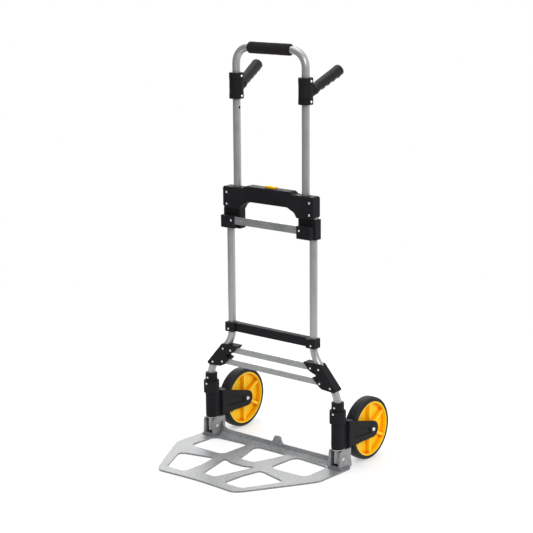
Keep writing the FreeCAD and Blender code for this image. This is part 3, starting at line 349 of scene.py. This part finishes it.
def finish(name, colour, edge_wear_and_highlight, hollow, roughness, metallic=0.0, grain=(900.0, 0.03), drift=0.06,
           edge=0.6, wear_and_highlight_share=0.5, shade=0.6, lines=None, coat=0.0, sheen=0.0, specular=0.5,
           speckle=0.05):
    """The three colours are the base, the paler edge and the recess colours: the edge colour is wear,
    and on the yellow rim also a painted highlight, and the recess colour is painted shade. rub and
    shade say how much of the last two shows. grain is (cells a metre, depth in mm), edge is the soft
    edge's radius in mm and lines is the stretch of drawn lines. drift and speckle are how far the tone
    wanders in broad patches and from grain to grain."""
    material = bpy.data.materials.new(name)
    material.use_nodes = True
    tree = material.node_tree
    shader = tree.nodes["Principled BSDF"]
    edges = use_group(tree, soft_edge, Radius=edge * MM)
    grains = use_group(tree, fine_grain, Scale=grain[0])
    patches = use_group(tree, broad_patch)
    hollows = use_group(tree, hollow_shade)
    height, tone = grains.outputs["Height"], grains.outputs["Tone"]
    if lines:
        strokes = use_group(tree, drawn_lines, Stretch=lines)
        height = calculate(tree, "ADD", height, strokes.outputs["Height"])
        tone = calculate(tree, "ADD", tone, strokes.outputs["Tone"])
    sunk = calculate(tree, "MULTIPLY", hollows.outputs["Shade"], shade)
    base = blend_colour(tree, sunk, colour, hollow)
    # The paler edge colour goes on worn edges, and on the yellow rim it is also a painted highlight.
    base = blend_colour(tree, calculate(tree, "MULTIPLY", edges.outputs["Wear_and_highlight"], wear_and_highlight_share), base, edge_wear_and_highlight)
    lift = calculate(tree, "ADD", calculate(tree, "MULTIPLY", tone, speckle),
                     calculate(tree, "MULTIPLY", patches.outputs["Shift"], drift))
    brightness = tree.nodes.new("ShaderNodeHueSaturation")
    wire(tree, calculate(tree, "ADD", lift, 1.0), brightness.inputs["Value"])
    wire(tree, base, brightness.inputs["Color"])
    wire(tree, brightness.outputs["Color"], shader.inputs["Base Color"])
    patchy = calculate(tree, "MULTIPLY", patches.outputs["Shift"], PATCH_ROUGHNESS)
    rough = calculate(tree, "ADD", patchy, roughness)
    rough = calculate(tree, "ADD", rough, calculate(tree, "MULTIPLY", tone, GRAIN_ROUGHNESS))
    wire(tree, rough, shader.inputs["Roughness"])
    bump = tree.nodes.new("ShaderNodeBump")
    bump.inputs["Distance"].default_value = grain[1] * MM
    wire(tree, height, bump.inputs["Height"])
    wire(tree, edges.outputs["Normal"], bump.inputs["Normal"])
    wire(tree, bump.outputs["Normal"], shader.inputs["Normal"])
    shader.inputs["Metallic"].default_value = metallic
    shader.inputs["Coat Weight"].default_value = coat
    shader.inputs["Coat Roughness"].default_value = COAT_ROUGHNESS
    shader.inputs["Sheen Weight"].default_value = sheen
    shader.inputs["Specular IOR Level"].default_value = specular
    return material


print("one recipe, with", len(bpy.data.node_groups), "shared effects")

# %% [markdown]
# ## The finishes of this truck
# The tubes are drawn steel under satin silver paint, so the metal shows through faint lines
# along their length. The toe plate is a grey casting with a coarser sparkle. The housings and
# forks are black nylon with a fine grain that turns paler where hands and straps rub.

# %% Metal finishes
ALONG_Z, ALONG_X = (700.0, 700.0, 6.0), (50.0, 330.0, 330.0)
silver = (0.40, 0.402, 0.402)
finishes = {
    "satin_tube": finish(
        "satin_tube", silver, (0.62, 0.62, 0.62), (0.20, 0.20, 0.205), 0.36, metallic=0.6,
        grain=(1600.0, 0.006), lines=ALONG_Z, coat=0.12, drift=0.05, speckle=0.035),
    "flat_bar": finish(
        "flat_bar", (0.33, 0.335, 0.335), (0.6, 0.6, 0.6), (0.16, 0.16, 0.165), 0.36,
        metallic=0.6, grain=(1400.0, 0.01), lines=ALONG_X, drift=0.08, edge=0.4, speckle=0.15),
    "cast_alloy": finish(
        "cast_alloy", (0.285, 0.29, 0.295), (0.52, 0.53, 0.54), (0.09, 0.09, 0.10), 0.46,
        metallic=0.35, grain=(300.0, 0.25), drift=0.12, edge=1.2, wear_and_highlight_share=0.55, shade=0.75,
        speckle=0.26),
    "rivet_steel": finish(
        "rivet_steel", (0.86, 0.86, 0.87), (0.98, 0.98, 0.98), (0.35, 0.35, 0.37), 0.24,
        metallic=0.75, grain=(1500.0, 0.01), drift=0.04, edge=0.3, shade=0.25),
    "pin_steel": finish(
        "pin_steel", (0.72, 0.73, 0.74), (0.92, 0.92, 0.93), (0.22, 0.22, 0.23), 0.27,
        metallic=0.8, grain=(1500.0, 0.01), drift=0.06, edge=0.4),
    "spring_steel": finish(
        "spring_steel", (0.45, 0.45, 0.46), (0.6, 0.6, 0.6), (0.12, 0.12, 0.13), 0.33,
        metallic=0.85, grain=(1500.0, 0.01), edge=0.2),
}
print("metal finishes:", sorted(finishes))

# %% Plastic and rubber finishes
finishes.update({
    "black_plastic": finish(
        "black_plastic", (0.012, 0.011, 0.013), (0.05, 0.049, 0.053), (0.003, 0.003, 0.004),
        0.6, grain=(1100.0, 0.05), drift=0.16, edge=1.0, wear_and_highlight_share=0.4, specular=0.12),
    # The orange hollow colour is painted shade in the rim's recesses, and the paler edge colour is wear and also a
    # painted highlight along the rim's edges.
    "yellow_rim": finish(
        "yellow_rim", (1.0, 0.60, 0.0), (1.0, 0.70, 0.0), (0.92, 0.30, 0.0), 0.42,
        grain=(900.0, 0.03), drift=0.04, edge=0.9, wear_and_highlight_share=0.5, shade=1.0, speckle=0.03,
        specular=0.3),
    "yellow_button": finish(
        "yellow_button", (1.0, 0.55, 0.0), (1.0, 0.66, 0.0), (0.85, 0.26, 0.0), 0.4,
        grain=(1100.0, 0.02), drift=0.04, edge=0.9, wear_and_highlight_share=0.5, speckle=0.03, specular=0.3),
    "bush_nylon": finish(
        "bush_nylon", (0.62, 0.60, 0.54), (0.75, 0.73, 0.68), (0.22, 0.21, 0.18), 0.5,
        grain=(1000.0, 0.02)),
    "tyre": finish(
        "tyre", (0.008, 0.008, 0.009), (0.03, 0.03, 0.031), (0.003, 0.003, 0.003), 0.55,
        grain=(700.0, 0.08), drift=0.18, edge=0.8, wear_and_highlight_share=0.35, specular=0.28),
    "grip_rubber": finish(
        "grip_rubber", (0.006, 0.006, 0.007), (0.025, 0.025, 0.027), (0.002, 0.002, 0.002), 0.4,
        grain=(800.0, 0.06), drift=0.12, edge=0.6, wear_and_highlight_share=0.3, specular=0.3),
    "foam": finish(
        "foam", (0.017, 0.014, 0.016), (0.035, 0.031, 0.034), (0.006, 0.005, 0.006), 0.92,
        grain=(620.0, 0.45), drift=0.12, edge=0.6, wear_and_highlight_share=0.2, sheen=0.06, specular=0.1,
        speckle=0.16),
})
print(len(finishes), "finishes in all")

# %% Put each finish on its parts
for row in frame["record"]["subparts"]:
    part = nodes[row["node"]]
    for held in part.material_slots:
        held.material = finishes[row["material_slot"]]

# %% [markdown]
# ## Shapes that need more than the design gives
# The foam sleeve, the rubber grips, the tyres and four of the five springs are simple solids in
# the design, because motion only needs their size. Here each is remade. All but the springs are
# turned forms, so one function lays rings of points along an axis, with a radius that may change
# round the ring as well as along it.

# %% A turned form
def turned_form(name, start, way, rings, around, sharp=40.0):
    """rings holds (distance along way, radius), where radius is a number or a function of the
    angle round the axis, which is zero on top. The outline may come back along the bore, and it
    closes on itself. sharp is the angle in degrees from which an edge stays sharp."""
    way = Vector(way).normalized()
    up = Vector((0, 0, 1))
    across = (up - way * up.dot(way)).normalized()
    beside = way.cross(across)
    points, faces = [], []
    for distance, radius in rings:
        for k in range(around):
            angle = 2 * math.pi * k / around
            reach = radius(angle) if callable(radius) else radius
            spoke = across * math.cos(angle) + beside * math.sin(angle)
            points.append(Vector(start) + way * distance + spoke * reach)
    count = len(rings)
    for i in range(count):
        for k in range(around):
            after = (k + 1) % around
            faces.append((i * around + k, i * around + after,
                          (i + 1) % count * around + after, (i + 1) % count * around + k))
    mesh = bpy.data.meshes.new(name)
    mesh.from_pydata([tuple(point) for point in points], [], faces)
    mesh.update()
    piece = bpy.data.objects.new(name, mesh)
    bpy.context.scene.collection.objects.link(piece)
    mesh.shade_smooth()
    mesh.set_sharp_from_angle(angle=math.radians(sharp))
    return piece


def hand_over(piece, slot_name, body, *stands_for):
    """Gives a new piece its finish, its body and the parts that it stands for."""
    piece.data.materials.append(finishes[slot_name])
    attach(piece, body)
    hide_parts(*stands_for)


def quarter_turn(steps):
    """The angles from nothing to a quarter turn, both ends included."""
    return [math.pi / 2 * k / steps for k in range(steps + 1)]


def middle_of(name):
    """The middle and the size of the box round a part, in metres."""
    low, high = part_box(name)
    return (low + high) / 2, high - low


print("turned_form and hand_over are ready")

# %% [markdown]
# ## The foam sleeve
# A foam sleeve is pushed along the top bar. It is soft, so its ends roll in a little, its skin
# dips where a hand has squeezed it, and no two cells are alike. A cloth simulation would add
# nothing on a tight tube, so the skin is moved by a slow, repeatable noise.

# %% Foam sleeve
foam_middle, foam_size = middle_of("foam_grip")
FOAM_RADIUS = foam_size.z / 2
BAR_RADIUS = 12.1 * MM
FOAM_ROLL = 5.0 * MM
FOAM_DIP = 0.45 * MM
END_INSET = 0.6 * MM
ROUND_BELOW = BAR_RADIUS + 1.0 * MM       # a ring nearer the bar than this stays round
DIPS_ALONG, DIPS_ROUND = 45.0, 1.6        # how fast the noise runs along and round the sleeve


def foam_skin(distance, radius):
    """A radius that rises and dips slowly round and along the sleeve."""
    def reach(angle):
        spot = Vector((distance * DIPS_ALONG,
                       math.cos(angle) * DIPS_ROUND, math.sin(angle) * DIPS_ROUND))
        return radius - FOAM_DIP * (0.5 + 0.5 * noise.noise(spot))
    return reach


half = foam_size.x / 2
BODY_STEPS, ROLL_STEPS = 40, 6
right_end = [(half - FOAM_ROLL * (1 - math.sin(angle)),
              FOAM_RADIUS - FOAM_ROLL * (1 - math.cos(angle)))
             for angle in quarter_turn(ROLL_STEPS)]
left_end = [(-distance, radius) for distance, radius in reversed(right_end)]
body_rings = [(-half + FOAM_ROLL + (2 * half - 2 * FOAM_ROLL) * k / BODY_STEPS, FOAM_RADIUS)
              for k in range(1, BODY_STEPS)]
foam_rings = [(distance, foam_skin(distance, radius) if radius > ROUND_BELOW else radius)
              for distance, radius in left_end + body_rings + right_end]
foam_rings.insert(0, (-half + END_INSET, BAR_RADIUS))
foam_rings.append((half - END_INSET, BAR_RADIUS))
foam = turned_form("foam_sleeve", foam_middle, (1, 0, 0), foam_rings, 64)
hand_over(foam, "foam", "handle", "foam_grip")
print("foam sleeve:", len(foam.data.vertices), "points, radius", round(FOAM_RADIUS / MM, 1), "mm")

# %% [markdown]
# ## The rubber side grips
# Each side grip is a moulded rubber sleeve on a core that swivels round the handle tube. Its
# underside has four hollows for the fingers, its root has a raised ring that keeps the hand off
# the hub, and its end is domed. It is turned like the foam, with a radius that also depends on
# the angle: zero is the top of the grip, and half a turn is the finger side.

# %% Shape of a grip
LEAN, GRIP_RISE, GRIP_TURN = (math.radians(angle) for angle in (2.5, 25.5, 10.5))
GRIP_START, GRIP_END = 34.1 * MM, 157.0 * MM
CORE_RADIUS, CORE_END = 9.1 * MM, 145.1 * MM
GRIP_RADIUS = 18.0 * MM
FINGER_PITCH, FINGER_DEPTH = 23.0 * MM, 3.0 * MM
HOLLOW_FOCUS = 1.4       # a larger power keeps the hollows closer to the finger side
FINGERS_FROM, FINGERS_FADE = GRIP_START + 8 * MM, 6.0 * MM
ROOT_RING_HALF, WAIST, SWELL = 3.0 * MM, 1.6 * MM, 2.6 * MM
RIB_HEIGHT, RIB_PITCH = 0.22 * MM, 3.2 * MM
GRIP_TUCK = 0.3 * MM     # keeps the skin inside the size that the design gives the sleeve
DOME, DOME_TIP = 9.0 * MM, 0.8 * MM
BLUNT = 0.42             # the share of the radius that is left where the dome ends
POINT = 0.05 * MM        # as good as no radius, where a turned form closes
joint_of = {joint["name"]: joint for joint in frame["joints"]}


def grip_skin(distance):
    """The grip's radius at a distance from the handle's middle, as a function of the angle."""
    root_ring = max(0.0, 1.0 - abs(distance - GRIP_START - ROOT_RING_HALF) / ROOT_RING_HALF)
    waist = WAIST * (1.0 - root_ring)
    thicker = SWELL * (distance - GRIP_START) / (GRIP_END - GRIP_START)
    wave = 0.5 - 0.5 * math.cos(2 * math.pi * (distance - FINGERS_FROM) / FINGER_PITCH)
    fading = min(1.0, max(0.0, (distance - FINGERS_FROM) / FINGERS_FADE))
    rib = RIB_HEIGHT * math.sin(2 * math.pi * distance / RIB_PITCH) * fading
    past = max(0.0, distance - (GRIP_END - DOME)) / DOME
    closing = BLUNT + (1.0 - BLUNT) * math.sqrt(max(0.0, 1.0 - past ** 2))

    def reach(angle):
        finger_side = max(0.0, -math.cos(angle)) ** HOLLOW_FOCUS
        hollow = FINGER_DEPTH * wave * finger_side * fading
        flat_top = rib * max(0.0, math.cos(angle))
        skin = GRIP_RADIUS - GRIP_TUCK - waist + thicker - hollow + flat_top
        return max(POINT, skin * closing)
    return reach


GRIP_STEPS, DOME_STEPS = 150, 14
straight = GRIP_END - DOME - GRIP_START
stations = [GRIP_START + straight * k / GRIP_STEPS for k in range(GRIP_STEPS + 1)]
stations += [GRIP_END - DOME + DOME * math.sin(angle) for angle in quarter_turn(DOME_STEPS)[1:]]
grip_rings = [(distance, grip_skin(distance)) for distance in stations]
grip_rings += [(GRIP_END + DOME_TIP, POINT), (CORE_END, POINT), (CORE_END, CORE_RADIUS),
               (GRIP_START, CORE_RADIUS)]
print("grip outline:", len(grip_rings), "rings")

# %% Both grips
for side, sign in (("left", -1), ("right", 1)):
    level_way = Vector((sign * math.sin(GRIP_TURN) * math.cos(GRIP_RISE),
                        math.cos(GRIP_TURN) * math.cos(GRIP_RISE), math.sin(GRIP_RISE)))
    grip_way = Matrix.Rotation(LEAN, 3, "X") @ level_way
    root = Vector(joint_of["side_grip_swivel_" + side]["pos_m"])
    grip = turned_form("rubber_grip_" + side, root, grip_way, grip_rings, 56)
    hand_over(grip, "grip_rubber", "side_grip_" + side, "grip_sleeve_" + side)
    print(grip.name, len(grip.data.vertices), "points")

# %% [markdown]
# ## The tyres
# A solid rubber tyre on a small wheel has a nearly flat tread with two fine grooves, a round
# shoulder and a thin bead against the rim. All of it is one outline turned about the axle.

# %% Tyres
tyre_size = middle_of("tyre_right")[1]
TYRE_RADIUS, TYRE_HALF = tyre_size.z / 2, tyre_size.x / 2
BEAD_RADIUS = 87.05 * MM
SHOULDER, SHOULDER_FROM = 8.5 * MM, 4.2 * MM
CROWN = 0.7 * MM
GROOVE_AT, GROOVE_HALF, GROOVE_DEPTH = 5.5 * MM, 0.9 * MM, 1.1 * MM


def tread_radius(across):
    """The tread's radius at a distance from the wheel's middle plane."""
    flat_half = TYRE_HALF - SHOULDER
    dip = GROOVE_DEPTH * max(0.0, 1.0 - (abs(abs(across) - GROOVE_AT) / GROOVE_HALF) ** 4)
    return TYRE_RADIUS - CROWN * (across / flat_half) ** 2 - dip


# The bead, as millimetres in from the tyre's face and out from the rim: it bulges, then a
# fine line parts it from the side wall.
BEAD = ((0.4, 0.0), (0.1, 0.8), (0.1, 2.4), (0.7, 2.9), (0.2, 3.6))
side_wall = [(TYRE_HALF - inward * MM, BEAD_RADIUS + outward * MM) for inward, outward in BEAD]
shoulder_top = tread_radius(TYRE_HALF - SHOULDER)
shoulder_low = BEAD_RADIUS + SHOULDER_FROM
SHOULDER_STEPS, TREAD_STEPS = 8, 72
side_wall += [(TYRE_HALF - SHOULDER * (1 - math.cos(angle)),
               shoulder_low + (shoulder_top - shoulder_low) * math.sin(angle))
              for angle in quarter_turn(SHOULDER_STEPS)]
flat = TYRE_HALF - SHOULDER
tread = [(across, tread_radius(across))
         for across in (flat - 2 * flat * k / TREAD_STEPS for k in range(1, TREAD_STEPS))]
tyre_rings = side_wall + tread + [(-across, radius) for across, radius in reversed(side_wall)]
print("tyre outline:", len(tyre_rings), "rings at", round(TYRE_RADIUS / MM, 1), "mm")

# %% Both tyres
for side in ("left", "right"):
    middle = middle_of("tyre_" + side)[0]
    tyre = turned_form("rubber_tyre_" + side, middle, (1, 0, 0), tyre_rings, 160, sharp=50.0)
    hand_over(tyre, "tyre", "wheel_" + side, "tyre_" + side)
    print(tyre.name, len(tyre.data.vertices), "points")

# %% [markdown]
# ## The coil springs
# Two springs turn the wheels out and two push the lock pins home. They hide inside their
# housings, yet they show when the truck is taken apart, so each is a true coil of wire: one
# curve that climbs as it turns, given a round thickness. The button's spring stays as designed.

# %% Springs
COIL_STEPS = 28


def coil_spring(name, stands_for, wire_radius, turns, axis):
    """A helix that fills the box of the part it stands for, with its axis upright or level
    along X."""
    middle, size = middle_of(stands_for)
    axis = Vector(axis).normalized()
    beside = axis.orthogonal().normalized()
    behind = axis.cross(beside)
    upright = abs(axis.z) > abs(axis.x)
    length = (size.z if upright else size.x) - 2 * wire_radius
    radius = (size.x if upright else size.z) / 2 - wire_radius
    curve = bpy.data.curves.new(name, "CURVE")
    curve.dimensions = "3D"
    curve.bevel_depth = wire_radius
    curve.use_fill_caps = True
    line = curve.splines.new("POLY")
    line.points.add(turns * COIL_STEPS)
    for k, point in enumerate(line.points):
        angle = 2 * math.pi * k / COIL_STEPS
        climb = length * (k / (turns * COIL_STEPS) - 0.5)
        spoke = (beside * math.cos(angle) + behind * math.sin(angle)) * radius
        point.co = (*(middle + axis * climb + spoke), 1.0)
    spring = bpy.data.objects.new(name, curve)
    bpy.context.scene.collection.objects.link(spring)
    hand_over(spring, "spring_steel", "frame", stands_for)


column_way = (0.0, -math.sin(LEAN), math.cos(LEAN))
for side in ("left", "right"):
    coil_spring("swing_coil_" + side, "swing_spring_" + side, 1.5 * MM, 4, column_way)
    coil_spring("lock_coil_" + side, "lock_spring_" + side, 0.7 * MM, 7, (1, 0, 0))
print("four coil springs are wound")
